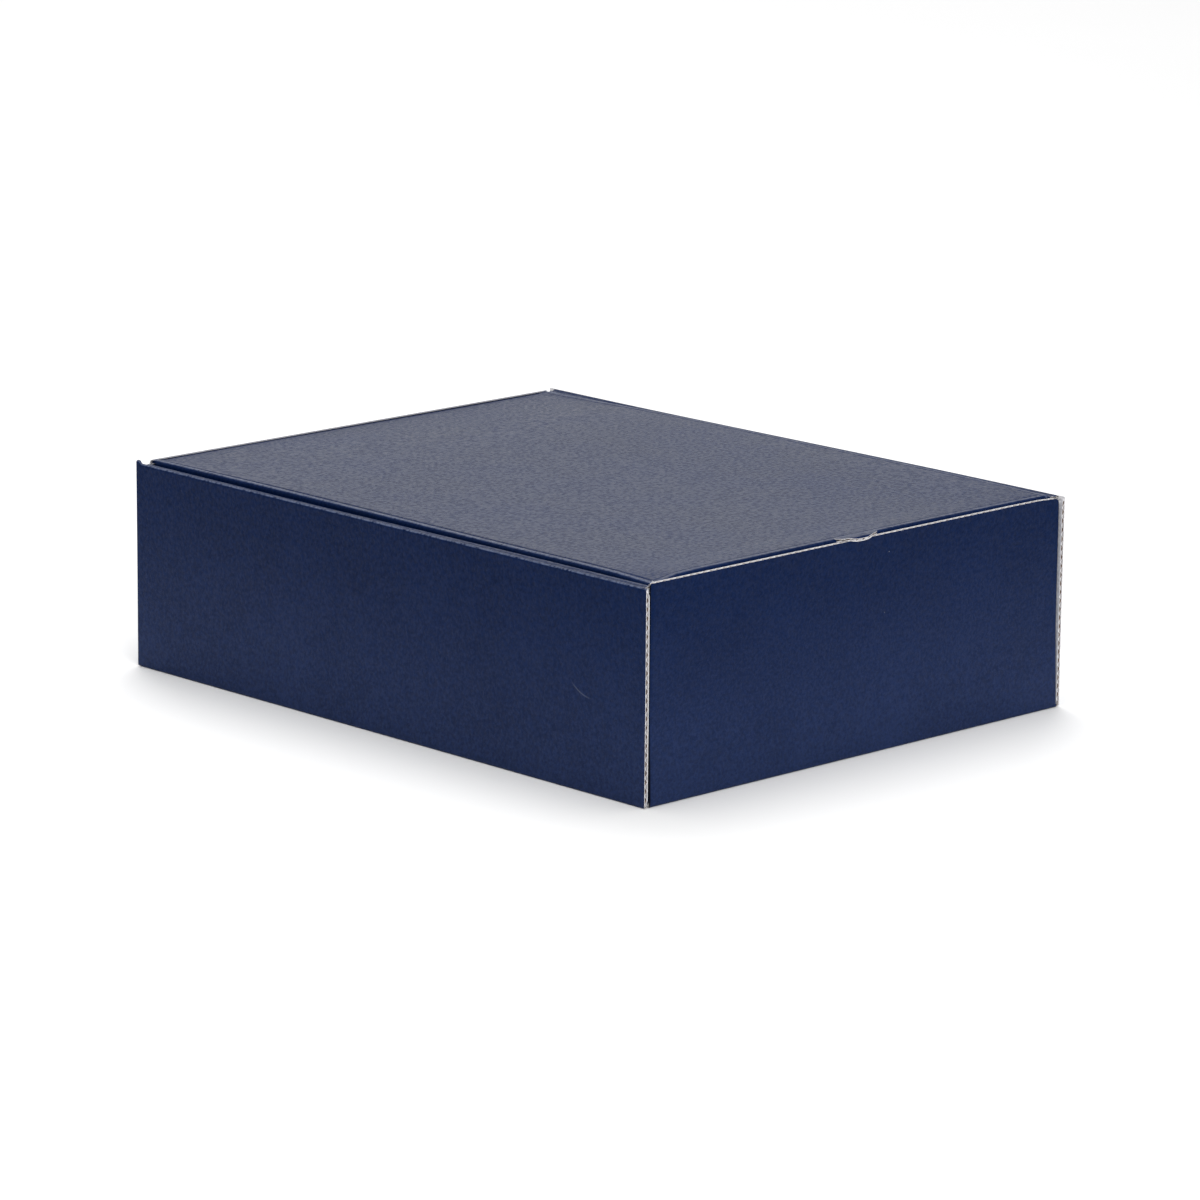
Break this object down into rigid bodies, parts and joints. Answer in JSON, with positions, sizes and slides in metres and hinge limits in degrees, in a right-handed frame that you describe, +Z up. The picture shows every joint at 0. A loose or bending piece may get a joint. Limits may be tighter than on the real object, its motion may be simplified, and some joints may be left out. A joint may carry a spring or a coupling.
{
  "type": "corrugated hamper mailer box",
  "caption": "Folded corrugated mailer box with rolled double side walls and a hinged lid that tucks in behind the front wall.",
  "frame": {"origin": "middle of the underside of the base, which the box stands on", "axes": "+Z up, -Y towards the front wall with the thumb tab, +Y towards the lid's crease, X across the rolled side walls"},
  "size_m": [0.218, 0.28, 0.0824],
  "materials": {
    "printed_board": "matt navy print on the outside liner",
    "plain_liner": "unprinted white inside liner and its cut edges",
    "fluting": "bare brown-grey fluting paper between the liners"
  },
  "bodies": {
    "tray": {"tray": "printed_board"},
    "lid": {"lid": "printed_board"}
  },
  "joints": [
    {"name": "lid_hinge", "type": "hinge", "parent": "tray", "child": "lid", "pos_m": [0, 0.1382, 0.08], "axis": [-1, 0, 0], "range_deg": [0, 180]}
  ]
}
